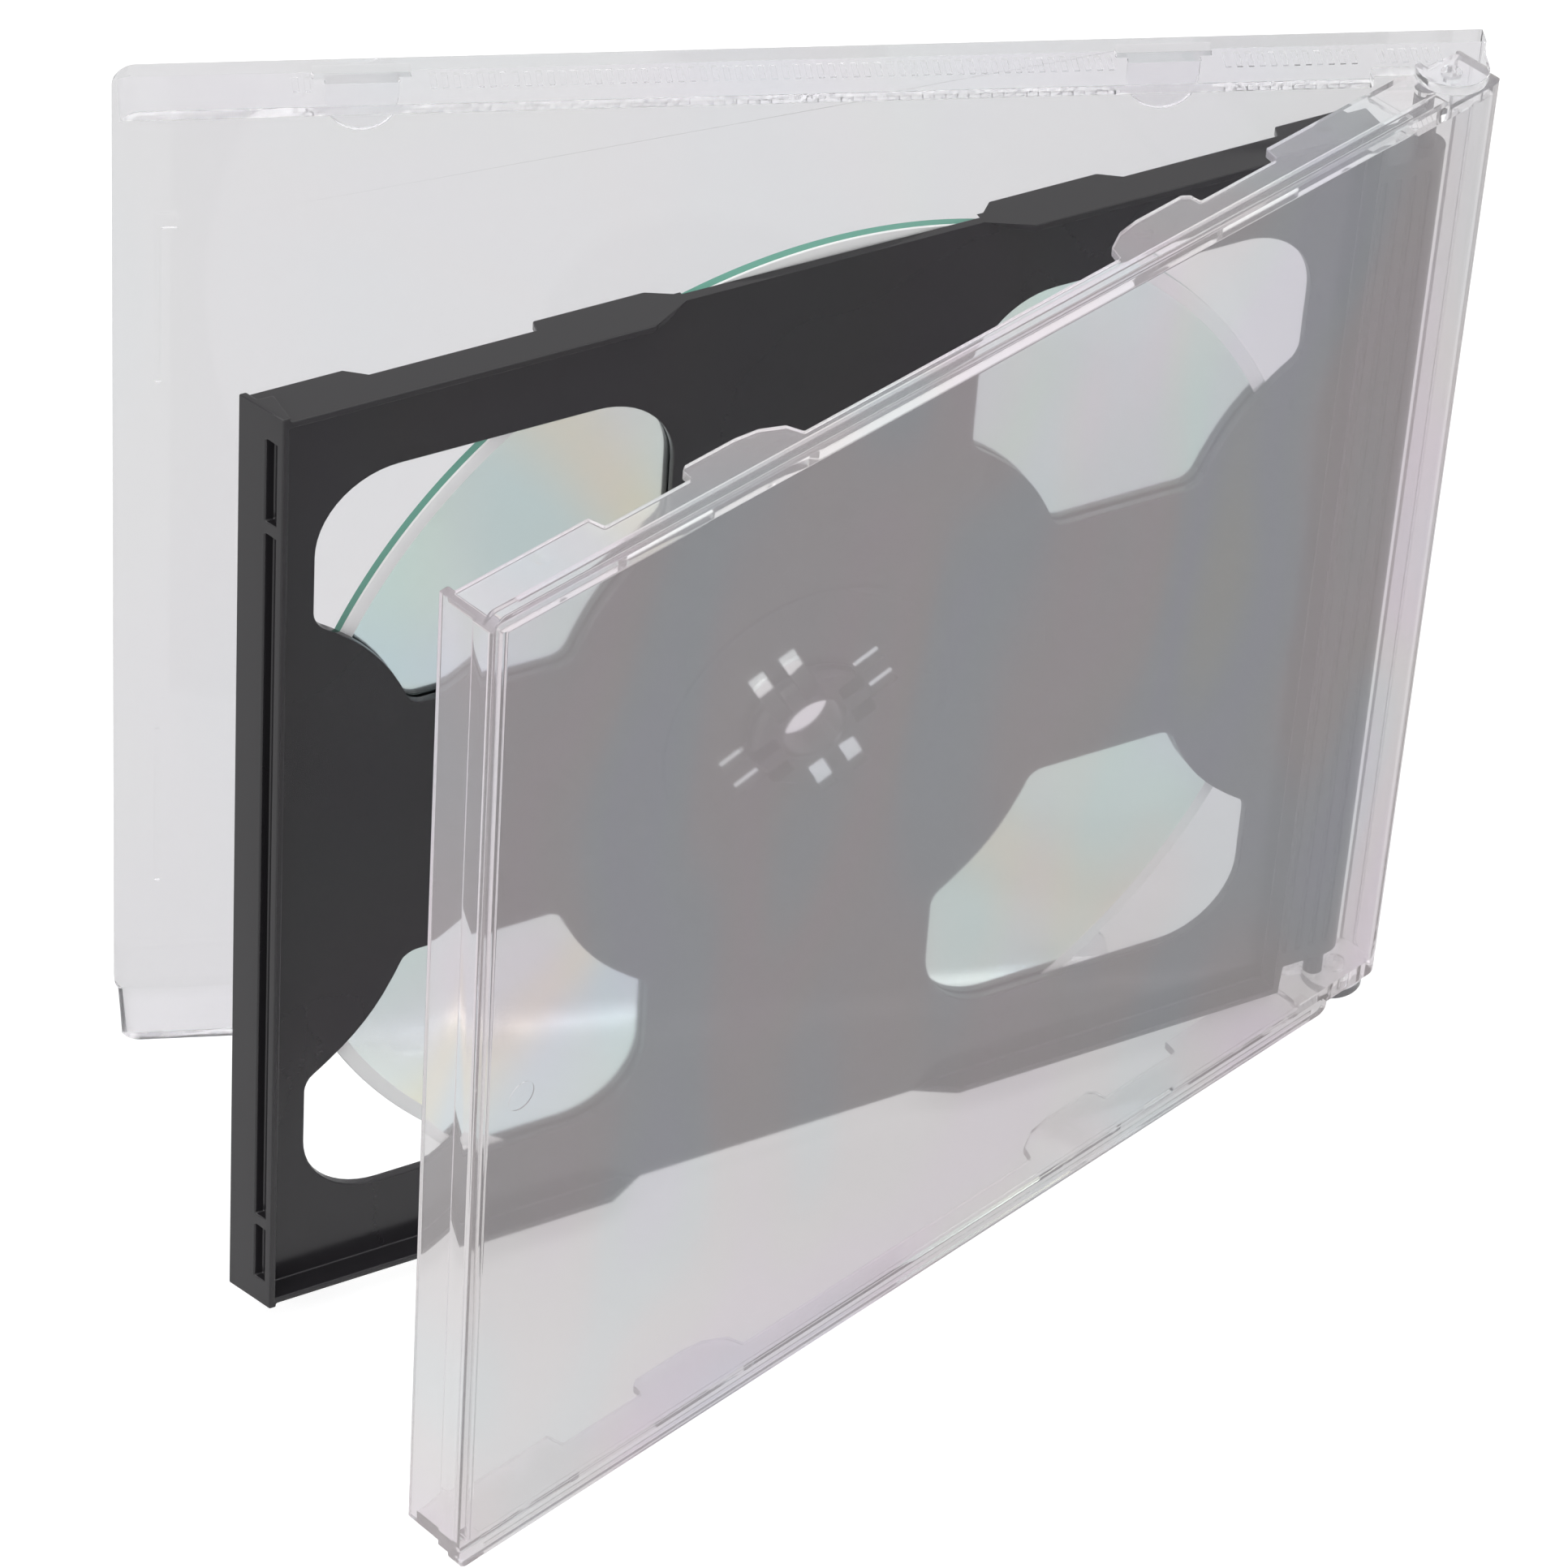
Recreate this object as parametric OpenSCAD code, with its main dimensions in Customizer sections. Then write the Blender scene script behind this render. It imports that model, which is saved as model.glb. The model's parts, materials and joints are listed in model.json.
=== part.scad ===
/* [Case] */
// Outer diameter of the disc that the case is made for
disc_d = 120; // [118:0.5:122]
// Distance from the hinge spine's outer face to the disc's edge
hinge_room = 16.2; // [15.8:0.1:16.4]
// Distance from the disc's edge to the opening side
open_room = 5.8; // [5.6:0.1:8]
// Distance from the disc's edge to each long edge of the case
long_room = 2.5; // [2.4:0.1:5]
// Thickness of the closed case
case_t = 10.4; // [10.3:0.1:11.5]
// Thickness of the clear front and back panels
panel_t = 1.2; // [1:0.05:1.3]
// Corner radius of the front and back panels
corner_r = 2.5; // [1.5:0.1:3]

/* [Nesting] */
// Thickness of the lid's side walls
lid_wall_t = 1.2; // [1:0.05:1.3]
// Thickness of the base's inner walls
base_wall_t = 1.1; // [1:0.05:1.2]
// Gap between the lid's side walls and the base's inner walls
nest_gap = 0.2; // [0.15:0.05:0.3]
// Gap between the tray and whatever surrounds it
tray_gap = 0.3; // [0.2:0.05:0.4]
// Depth of the full-height rim along the base's long edges
rim_t = 1.7; // [1.5:0.1:2]
// Gap between the lid's walls and the base's rim
rim_gap = 0.2; // [0.15:0.05:0.3]

/* [Hinge] */
// Distance of the lid's pins from the spine's outer face
hinge_u = 4.6; // [4.4:0.1:4.7]
// Distance of the lid's pins from the back
hinge_y = 3.9; // [3.8:0.1:4]
// Diameter of all hinge pins
pin_d = 2.2; // [1.8:0.1:2.4]
// Radial clearance of a pin in its hole
pin_gap = 0.05; // [0.03:0.01:0.09]
// Depth to which a pin enters its hole
pin_bite = 1; // [0.8:0.1:1.2]
// Thickness of the base's bored end walls
boss_t = 1.7; // [1.5:0.1:1.7]
// Angle at which the lid stands open
lid_open = 37; // [0:1:120]
// Share of the lid's angle that the tray follows
tray_share = 0.45; // [0.3:0.05:0.6]
// Radius of the base's edge that the lid swings around
swing_r = 2.2; // [2:0.1:2.4]

/* [Tray] */
// Gap behind the tray for the inlay card
inlay_gap = 1; // [0.8:0.1:1.2]
// Depth of the tray's long walls
tray_t = 4.1; // [3.9:0.1:4.2]
// Depth from the tray's near edge to its web
near_seat_t = 2.6; // [2.4:0.1:2.8]
// Thickness of the tray's web between its two disc seats
web_t = 1; // [0.9:0.1:1.2]
// Thickness of the tray's long walls
tray_edge_t = 0.8; // [0.7:0.05:1.2]
// Distance by which the tray sags below the middle of the case
tray_drop = 0.5; // [0:0.1:0.5]
// Reach of the tray's tabs beyond its long walls
tray_tab_h = 1.5; // [1.2:0.1:1.7]
// Distance from the base's inner walls to the tray's long edges
tray_side_gap = 1.35; // [1.2:0.05:1.5]
// Distance of the tray's hinge pins from the spine's outer face
tray_pivot_u = 7.7; // [7.6:0.1:8]
// Distance of the tray's hinge pins from the back
tray_pivot_y = 4.6; // [4.5:0.1:4.7]
// Radius of the knuckle along the tray's hinge side
knuckle_r = 2.3; // [2.1:0.1:2.5]
// Distance from the spine's outer face to where the ribbed strip ends
strip_u = 13.6; // [13:0.1:14]
// Amount that the ribbed strip is cut short at each end
strip_step = 3.9; // [3.4:0.1:4.4]

/* [Disc] */
// Diameter of the disc's hole
disc_hole_d = 15; // [14.5:0.1:15.5]
// Thickness of the disc
disc_t = 1.2; // [1.1:0.05:1.3]
// Gap between the disc's edge and the wall of its seat
seat_gap = 1; // [0.7:0.1:1.1]
// Height of the low ring around the hub that the disc lies on
ring_h = 0.2; // [0.1:0.05:0.3]
// Outer diameter of that ring
ring_d = 34; // [30:0.5:38]

/* [Hub] */
// Gap between the hub and the disc's hole
hub_gap = 0.15; // [0.1:0.05:0.3]
// Diameter of the hole through the hub
hub_bore_d = 6; // [5:0.5:7]
// Height of the hub above each disc seat
hub_h = 1.9; // [1.6:0.1:2.1]
// Width of each sprung finger of the hub
finger_w = 2.6; // [2:0.1:3]
// Width of the slots beside the fingers
slot_w = 1.3; // [1:0.1:1.5]

/* [Finger openings] */
// Width of each corner opening along the case
opening_w = 39.6; // [36:0.2:40]
// Distance from the disc's edge to an opening's outer side, along the case
opening_side = 3.2; // [3:0.1:3.7]
// Distance from the disc's edge to an opening's outer edge, up the case
opening_rim = 12.1; // [11.5:0.1:14]
// Distance from the disc's centre to an opening's inner edge
opening_foot = 16.6; // [16:0.2:18]
// Width of an opening's inner edge
foot_w = 17.6; // [15:0.2:18]
// Distance from the disc's centre to where an opening's sides begin
side_from = 30.3; // [29:0.1:31]
// Radius of an opening's outer corners
opening_r = 9; // [6:0.5:10]
// Radius of the two scoops that narrow an opening
scoop_r = 24; // [20:1:30]

/* [Grip ribs] */
// Spacing of the grip ribs on the lid's side walls
grip_pitch = 1.2; // [1.2:0.1:2.4]
// Depth of the grooves between the ribs
grip_depth = 0.25; // [0.15:0.05:0.35]

/* [Hidden] */
$fn = 96;
eps = 0.01;
over = 1;

disc_u = hinge_room + disc_d / 2;
case_l = disc_u + disc_d / 2 + open_room;
case_h = disc_d + 2 * long_room;
mid_h = case_h / 2;
tray_open = lid_open * tray_share;
lid_inner_y = case_t - panel_t;
lid_free_y = rim_t + rim_gap;

wall_out_z = lid_wall_t + nest_gap;
wall_in_z = wall_out_z + base_wall_t;
strip_in_z = wall_out_z + 0.1;

spine_t = panel_t;
spine_end_u = case_l - 0.4;
spine_free_y = lid_inner_y - 0.9;
spine_foot_y = 3.2;
sweep_r = lid_inner_y - hinge_y - 0.1;
hinge_spine_y = hinge_y + sqrt(sweep_r * sweep_r - hinge_u * hinge_u) - 0.05;
ear_r = hinge_y;
ear_clear_u = hinge_u + ear_r + 0.7;
ear_top_u = hinge_u + 8.6;

tray_y0 = panel_t + inlay_gap;
tray_far_y = tray_y0 + tray_t;
tray_tab_y = tray_far_y + tray_tab_h;
web_y0 = tray_y0 + near_seat_t;
web_y1 = web_y0 + web_t;
tray_z0 = wall_in_z + tray_side_gap;
edge_in_z = tray_z0 + tray_edge_t;
tray_end_u = spine_end_u - spine_t - tray_gap;
tray_near_u = tray_end_u - 2.2;
tab_t = 0.9;
end_wall_t = 0.7;
recess_u0 = strip_u + 0.8;
strip_z0 = tray_z0 + strip_step;
seat_r = disc_d / 2 + seat_gap;
hub_r = disc_hole_d / 2 - hub_gap;
disc_y0 = web_y1 + ring_h;

boss_z1 = strip_in_z + boss_t;
lid_pin_l = strip_in_z - lid_wall_t + pin_bite;
tray_pin_z0 = boss_z1 - pin_bite;
opening_du = disc_d / 2 - opening_side - opening_w / 2;
opening_top = disc_d / 2 - opening_rim;

wall_tall_y = lid_inner_y - 1.8;
wall_low_y = wall_tall_y - 1.9;
wall_mid_y = wall_tall_y - 3.5;
tall_from = disc_d / 2 - 12.8;
tab_from = 34.6;
tab_to = 22;
boss_u = 13.4;

moon_d = 7.6;
moon_reach = 6.6;
moon_t = 0.8;
moon_y0 = lid_inner_y - 2.2;
moon_u = [boss_u + 20.7, case_l - 25.2];

clear_colour = [0.86, 0.87, 0.88, 0.45];
tray_colour = [0.12, 0.115, 0.12];
disc_colour = [0.72, 0.82, 0.79];

// The case is drawn closed, with the spine's outer face at x = 0 and the back at y = 0.
// It is then moved so that the origin is on the floor, at the middle of the standing rim.
module in_frame() {
    translate([case_l / 2, -rim_t / 2, 0]) children();
}

// Turns a closed piece about an upright axis, open by the given angle.
module swung(axis_u, axis_y, angle) {
    in_frame()
    translate([-axis_u, axis_y, 0])
    rotate([0, 0, -angle])
    translate([axis_u, -axis_y, 0])
    children();
}

// A block given by its ends along the case, its depth and its height.
module block(u0, u1, y0, y1, z0, z1) {
    translate([-u1, y0, z0]) cube([u1 - u0, y1 - y0, z1 - z0]);
}

// Stands a flat outline drawn as (distance from the spine, height) upright, from y0 to y1.
module plate(y0, y1) {
    translate([0, y1, 0])
    rotate([90, 0, 0])
    mirror([1, 0, 0])
    linear_extrude(y1 - y0)
    children();
}

// Lays a flat outline drawn as (distance from the spine, depth) level, from z0 to z1.
module shelf(z0, z1) {
    translate([0, 0, z0]) mirror([1, 0, 0]) linear_extrude(z1 - z0) children();
}

// Repeats a piece at the lower edge and mirrored at the upper edge.
module both_edges() {
    children();
    translate([0, 0, case_h]) mirror([0, 0, 1]) children();
}

// A rectangle with four round corners.
module round_rect(x0, x1, y0, y1, r) {
    translate([x0 + r, y0]) square([x1 - x0 - 2 * r, y1 - y0]);
    translate([x0, y0 + r]) square([x1 - x0, y1 - y0 - 2 * r]);
    for (x = [x0 + r, x1 - r], y = [y0 + r, y1 - r]) translate([x, y]) circle(r);
}

// Half of the base wall's free edge, from the disc's middle outwards.
function wall_half(side) = [
    [disc_u + side * tab_to, wall_mid_y],
    [disc_u + side * (tab_to + 0.7), wall_tall_y - 1.7],
    [disc_u + side * (tab_to + 3.2), wall_tall_y - 0.4],
    [disc_u + side * (tab_to + 6), wall_tall_y],
    [disc_u + side * tab_from, wall_tall_y],
    [disc_u + side * (tab_from + 0.8), wall_tall_y - 0.6],
    [disc_u + side * (tab_from + 0.9), wall_low_y],
    [disc_u + side * (tall_from - 0.4), wall_low_y],
    [disc_u + side * tall_from, wall_tall_y]
];

// The base's inner wall, seen along the height, with its steps and tabs.
module base_wall_outline() {
    polygon(concat(
        [[boss_u - eps, panel_t - eps], [boss_u - eps, wall_tall_y]],
        [for (i = [8:-1:0]) wall_half(-1)[i]],
        wall_half(1),
        [[spine_end_u - spine_t + eps, wall_tall_y], [spine_end_u - spine_t + eps, panel_t - eps]]
    ));
}

// Rounded block at each end of the hinge side, bored for the pins of the lid and the tray.
module hinge_boss() {
    shelf(strip_in_z, boss_z1)
    difference() {
        union() {
            translate([hinge_u, hinge_y]) circle(ear_r - 0.2);
            translate([hinge_u, panel_t - eps]) square([boss_u - hinge_u, wall_tall_y - panel_t + eps]);
            translate([spine_t - eps, panel_t - eps]) square([hinge_u - spine_t, hinge_y - panel_t]);
        }
        translate([hinge_u - ear_r, hinge_spine_y]) square([ear_r + 1, 4]);
    }
}

// Small dome on the inner wall that keeps the closed tray from drifting out.
module keeper_dome(u) {
    cap_r = 1.2;
    cap_h = 0.15;
    ball_r = (cap_r * cap_r + cap_h * cap_h) / (2 * cap_h);
    translate([-u, wall_tall_y - 1.4, wall_in_z + cap_h - ball_r])
    intersection() {
        sphere(ball_r);
        translate([0, 0, ball_r - 0.4]) cylinder(h = 1, r = cap_r);
    }
}

// The clear back panel with its stepped rim, inner walls and two spines.
module base() {
    color(clear_colour)
    in_frame()
    difference() {
        union() {
            // Panel that runs between the rims, up to the spine's outer face
            intersection() {
                shelf(strip_in_z, case_h - strip_in_z)
                union() {
                    translate([swing_r, 0]) square([case_l - swing_r - over, panel_t]);
                    translate([0, swing_r]) square([spine_t, hinge_spine_y - swing_r]);
                    difference() {
                        translate([swing_r, swing_r]) circle(swing_r);
                        translate([swing_r, swing_r]) circle(swing_r - panel_t);
                        translate([swing_r, 0]) square([swing_r, 2 * swing_r]);
                        translate([0, swing_r]) square([2 * swing_r, swing_r]);
                    }
                }
                plate(-over, case_t)
                round_rect(0, case_l, strip_in_z, case_h - strip_in_z, 1.2);
            }
            // Full-height rim, clear of the lid's ears
            difference() {
                plate(0, rim_t)
                round_rect(ear_clear_u, case_l, 0, case_h, 1.2);
                block(0, case_l - 2, panel_t, case_t, wall_in_z, case_h - wall_in_z);
            }
            // Spine on the opening side, with a thicker foot
            block(spine_end_u - spine_t, spine_end_u, 0, spine_free_y, wall_out_z, case_h - wall_out_z);
            block(spine_end_u - spine_t, case_l, 0, spine_foot_y, wall_out_z, case_h - wall_out_z);
            both_edges() {
                shelf(wall_out_z, wall_in_z) base_wall_outline();
                hinge_boss();
                // Low bead along the foot of the inner wall
                block(ear_clear_u + 2, case_l - 4, rim_t + 0.4, rim_t + 1.2, wall_out_z - 0.1, wall_out_z + eps);
                for (u = [boss_u + 8.3, disc_u - 27.5, disc_u + 27.5, spine_end_u - 10.9]) keeper_dome(u);
            }
        }
        both_edges() {
            // Groove along the rim
            block(ear_clear_u + 2, case_l - 4, rim_t - 0.4, rim_t + over, wall_out_z - 1, wall_out_z - 0.5);
            // Hole for the lid's pin, open to the outside
            translate([-hinge_u, hinge_y, 0]) cylinder(h = strip_in_z + pin_bite + 0.2, d = pin_d + 2 * pin_gap);
            // Hole for the tray's pin, open to the inside
            translate([-tray_pivot_u, tray_pivot_y, boss_z1 - pin_bite - 0.2])
            cylinder(h = pin_bite + 0.2 + over, d = pin_d + 2 * pin_gap);
        }
        // Short slit near the lower edge of the back
        block(disc_u - 41.3, disc_u - 36.8, -over, 0.5, wall_in_z + 0.5, wall_in_z + 1.1);
        // Round mark left by the mould's gate
        translate([-(case_l - 6), -over, mid_h]) rotate([-90, 0, 0]) cylinder(h = over + 0.1, r = 1.7);
    }
}

// Middle of the scoop that runs from the inner edge's end up to the side.
function scoop_middle() =
    let (foot = [foot_w / 2, opening_foot], side = [opening_w / 2, side_from])
    let (way = side - foot, half = norm(way) / 2)
    (foot + side) / 2 + [way[1], -way[0]] / norm(way) * sqrt(scoop_r * scoop_r - half * half);

// One corner opening, with its middle on the disc's centre line.
module finger_opening() {
    half = opening_w / 2;
    difference() {
        union() {
            translate([-half, opening_foot]) square([opening_w, opening_top - opening_r - opening_foot]);
            translate([opening_r - half, opening_top - opening_r - eps])
            square([opening_w - 2 * opening_r, opening_r + eps]);
            for (side = [-1, 1])
                translate([side * (half - opening_r), opening_top - opening_r]) circle(opening_r);
        }
        for (side = [-1, 1])
            translate([side * scoop_middle()[0], scoop_middle()[1]]) circle(scoop_r, $fn = 144);
    }
}

// All four openings, placed around the disc's centre.
module finger_openings() {
    for (side_u = [-1, 1], side_z = [0, 1])
        translate([disc_u + side_u * opening_du, mid_h])
        mirror([0, side_z])
        finger_opening();
}

// Slots on both sides of the hub's four sprung fingers.
module hub_slots() {
    reach = hub_r + 2;
    from = hub_r - 1.8;
    for (a = [29, 119, 209, 299], side = [-1, 1])
        translate([disc_u, mid_h])
        rotate(180 - a)
        translate([from, side * (finger_w + slot_w) / 2 - slot_w / 2])
        square([reach - from, slot_w]);
}

// One side's rosette: a seat ring and a domed hub that the disc snaps over.
module rosette(height) {
    rotate_extrude()
    polygon([
        [hub_bore_d / 2, -eps], [hub_r, -eps], [hub_r, height - 0.7],
        [hub_r - 0.5, height], [hub_bore_d / 2 + 0.6, height], [hub_bore_d / 2, height - 0.5]
    ]);
}

// Flap that extends the tray's long wall towards the lid, with sloping ends.
module tray_tab(u0, u1, slope0, slope1) {
    shelf(tray_z0, tray_z0 + tab_t)
    polygon([
        [u0, tray_far_y - eps], [u1, tray_far_y - eps],
        [u1 - slope1, tray_tab_y], [u0 + slope0, tray_tab_y]
    ]);
}

// Slanting cut at both ends of the gap in the tray's long wall.
module gap_cut() {
    shelf(tray_z0 - over, tray_z0 + tray_edge_t)
    polygon([
        [disc_u - 21.6, tray_y0 - eps], [disc_u + 21.6, tray_y0 - eps],
        [disc_u + 16.8, web_y0], [disc_u - 16.8, web_y0]
    ]);
}

// The black tray that swings like a page and holds a disc on each side.
module tray() {
    rib_n = 4;
    rib_pitch = (strip_u - tray_pivot_u - 0.6) / 3;
    color(tray_colour)
    swung(tray_pivot_u, tray_pivot_y, tray_open)
    translate([0, 0, -tray_drop])
    difference() {
        union() {
            difference() {
                union() {
                    // Plate, hollowed below
                    block(strip_u, tray_near_u, tray_y0, tray_far_y, tray_z0, case_h - tray_z0);
                    // Slanted end with its flange
                    shelf(tray_z0 - 0.5, case_h - tray_z0 + 0.5)
                    polygon([
                        [tray_near_u - 0.8, tray_y0], [tray_near_u, tray_y0],
                        [tray_end_u - 1.35, tray_y0 + 2.2], [tray_end_u, tray_tab_y],
                        [tray_end_u - 0.8, tray_tab_y], [tray_end_u - 1.3, tray_far_y],
                        [tray_near_u - 0.8, tray_far_y]
                    ]);
                    // Ribbed strip and the round knuckle along the hinge side
                    block(tray_pivot_u, strip_u + eps, tray_y0, tray_far_y, strip_z0, case_h - strip_z0);
                    translate([-tray_pivot_u, tray_pivot_y, strip_z0])
                    cylinder(h = case_h - 2 * strip_z0, r = knuckle_r);
                }
                // Deep hollow towards the back and shallow one towards the lid, with the web between them
                block(recess_u0, tray_near_u - end_wall_t, -over, web_y0, edge_in_z, case_h - edge_in_z);
                block(recess_u0, tray_near_u - end_wall_t, web_y1, case_t, edge_in_z, case_h - edge_in_z);
                // Room for a disc's rim where it crosses the long walls
                translate([-disc_u, web_y0, mid_h]) rotate([90, 0, 0]) cylinder(h = case_t, r = seat_r, $fn = 180);
                translate([-disc_u, web_y1, mid_h]) rotate([-90, 0, 0]) cylinder(h = case_t, r = seat_r, $fn = 180);
                both_edges() gap_cut();
                // Grooves between the ribs of the strip, on both faces
                for (i = [0:rib_n - 1], y = [tray_y0, tray_far_y])
                    translate([-(tray_pivot_u + 0.6 + i * rib_pitch), y, strip_z0 + 2])
                    cylinder(h = case_h - 2 * strip_z0 - 4, r = 0.45, $fn = 24);
            }
            both_edges() {
                tray_tab(tray_end_u - 13.2, tray_end_u - 0.9, 2, 0);
                tray_tab(disc_u + 17.5, disc_u + 32.6, 2.8, 0.3);
                tray_tab(disc_u - 33.8, disc_u - 17.5, 2.3, 1.6);
                tray_tab(strip_u + 2.2, strip_u + 10.6, 0.6, 0.6);
            }
            // Hub that both discs snap over
            translate([-disc_u, web_y1, mid_h]) rotate([-90, 0, 0]) rosette(hub_h);
            translate([-disc_u, web_y0, mid_h]) rotate([90, 0, 0]) rosette(hub_h);
            translate([-disc_u, web_y0 - ring_h, mid_h])
            rotate([-90, 0, 0])
            cylinder(h = web_t + 2 * ring_h, d = ring_d);
            // Hinge pins, as the two ends of one rod through the knuckle
            translate([-tray_pivot_u, tray_pivot_y, tray_pin_z0 + tray_drop])
            cylinder(h = case_h - 2 * tray_pin_z0, d = pin_d);
        }
        plate(-over, case_t) finger_openings();
        plate(-over, case_t) hub_slots();
        translate([-disc_u, case_t, mid_h]) rotate([90, 0, 0]) cylinder(h = case_t + over, d = hub_bore_d);
        // Long slot between the end flange and the near face, with a clip left near each end
        for (z = [[tray_z0 + 3, tray_z0 + 10.5], [tray_z0 + 12, case_h - tray_z0 - 14.5],
                  [case_h - tray_z0 - 13, case_h - tray_z0 - 3]])
            block(tray_near_u - 0.2, tray_end_u, tray_y0 + 0.7, tray_y0 + 2.2, z[0], z[1]);
    }
}

// The disc lies on the tray's lid side, snapped over the hub.
module disc() {
    color(disc_colour)
    swung(tray_pivot_u, tray_pivot_y, tray_open)
    translate([-disc_u, disc_y0, mid_h - tray_drop])
    rotate([-90, 0, 0])
    difference() {
        cylinder(h = disc_t, d = disc_d, $fn = 240);
        translate([0, 0, -over]) cylinder(h = disc_t + 2 * over, d = disc_hole_d);
    }
}

// The lid's side wall and hinge ear, seen along the height.
module lid_wall_outline() {
    difference() {
        union() {
            translate([ear_top_u, lid_free_y]) square([case_l - ear_top_u, case_t - lid_free_y]);
            translate([0.1, hinge_y + 2.2]) square([ear_top_u, case_t - hinge_y - 2.2]);
            translate([0.7, hinge_y]) square([ear_top_u - 3.6 - 0.7, 2.3]);
            translate([hinge_u, hinge_y]) circle(ear_r);
            polygon([
                [hinge_u, hinge_y], [hinge_u + ear_r, hinge_y],
                [ear_top_u + eps, lid_free_y + 2], [ear_top_u + eps, case_t - 1], [hinge_u, case_t - 1]
            ]);
        }
        // Hollow curve between the panel's edge and the round end
        translate([-5.6, hinge_y + 1.9]) circle(6.2);
    }
}

// Grooves between the grip ribs, from one end of a stretch to the other.
module grip_stretch(u0, u1, y0, y1) {
    count = floor((u1 - u0) / grip_pitch);
    for (i = [0:count - 1])
        block(u0 + i * grip_pitch, u0 + (i + 0.5) * grip_pitch, y0, y1, -over, grip_depth);
}

// Half-moon tab that holds the booklet against the front panel.
module booklet_tab(u) {
    depth = moon_reach - lid_wall_t - moon_d / 2;
    plate(moon_y0, moon_y0 + moon_t)
    translate([u, lid_wall_t + depth])
    intersection() {
        union() {
            circle(d = moon_d);
            translate([-moon_d / 2, -depth - eps]) square([moon_d, depth + eps]);
        }
        translate([-moon_d / 2, -depth - eps]) square([moon_d, moon_reach]);
    }
}

// The clear front panel with its side walls, hinge ears and booklet stops.
module lid() {
    grip_y0 = lid_inner_y - 4.4;
    grip_y1 = lid_inner_y - 1.8;
    color(clear_colour)
    swung(hinge_u, hinge_y, lid_open)
    difference() {
        union() {
            intersection() {
                union() {
                    block(0.1, case_l, lid_inner_y, case_t, 0, case_h);
                    both_edges() shelf(0, lid_wall_t) lid_wall_outline();
                }
                plate(-over, case_t + over) round_rect(-3, case_l, 0, case_h, corner_r);
            }
            both_edges() {
                for (u = moon_u) booklet_tab(u);
                // Pin on the inner face of the ear
                translate([-hinge_u, hinge_y, lid_wall_t - eps])
                cylinder(h = lid_pin_l + eps, d = pin_d);
                // Stop bar that keeps the booklet from sliding out
                block(case_l - 5, case_l - 4.4, lid_inner_y - 0.6, lid_inner_y + eps, 17.5, 39);
            }
            block(case_l - 6.6, case_l - 4.4, lid_inner_y - 0.6, lid_inner_y + eps, case_h - 19.3, case_h - 17.5);
        }
        both_edges() {
            grip_stretch(case_l - 19.8, case_l - 17, grip_y0, grip_y1);
            grip_stretch(moon_u[0] + 5.7, moon_u[1] - 5.8, grip_y0, grip_y1);
            grip_stretch(boss_u + 1, boss_u + 16.2, grip_y0, grip_y1);
            grip_stretch(boss_u - 8, boss_u - 0.4, grip_y0, grip_y1);
            // Window in the wall behind each booklet tab
            for (u = moon_u) block(u - 5, u + 5, moon_y0 + moon_t, lid_inner_y, -over, lid_wall_t + over);
        }
        // Shallow step along the opening edge
        block(case_l - 2, case_l + over, lid_inner_y - over, lid_inner_y + 0.3, lid_wall_t, case_h - lid_wall_t);
    }
}

base();
tray();
disc();
lid();
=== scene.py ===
import json
import math

import bmesh
import bpy
from mathutils import Matrix, Vector


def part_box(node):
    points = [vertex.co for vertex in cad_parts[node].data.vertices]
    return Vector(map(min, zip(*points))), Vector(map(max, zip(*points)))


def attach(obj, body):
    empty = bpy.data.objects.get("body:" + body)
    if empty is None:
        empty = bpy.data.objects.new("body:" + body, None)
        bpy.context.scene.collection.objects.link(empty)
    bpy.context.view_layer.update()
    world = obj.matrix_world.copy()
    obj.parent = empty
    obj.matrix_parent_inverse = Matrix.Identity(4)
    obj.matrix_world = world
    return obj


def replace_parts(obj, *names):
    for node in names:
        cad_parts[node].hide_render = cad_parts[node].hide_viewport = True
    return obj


bl_info = {
    "name": "Hinged Disc Case",
    "version": (1, 0, 0),
    "blender": (4, 5, 0),
    "location": "View3D > Sidebar > Disc Case",
    "description": "Dresses a clear hinged disc case with its black tray and mirrored disc",
    "category": "Object",
}

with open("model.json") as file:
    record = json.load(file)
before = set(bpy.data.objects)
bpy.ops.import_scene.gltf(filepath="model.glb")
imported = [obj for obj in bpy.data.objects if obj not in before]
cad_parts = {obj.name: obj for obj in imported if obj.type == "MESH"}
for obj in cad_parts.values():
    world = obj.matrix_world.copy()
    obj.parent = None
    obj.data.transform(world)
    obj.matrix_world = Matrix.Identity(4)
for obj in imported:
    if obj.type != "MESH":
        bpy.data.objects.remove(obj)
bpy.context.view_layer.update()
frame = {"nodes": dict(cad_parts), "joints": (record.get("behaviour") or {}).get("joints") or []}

MM = 0.001
TRAY_ANGLE = math.radians(next(j["range_deg"][0] for j in frame["joints"] if j["name"] == "tray_hinge"))
DISC_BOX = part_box("disc")
DISC_CENTRE = (DISC_BOX[0] + DISC_BOX[1]) / 2
DISC_RADIUS = (DISC_BOX[1].z - DISC_BOX[0].z) / 2
FINGER_ANGLES = (29, 119, 209, 299)


# Sizes and colours


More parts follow.
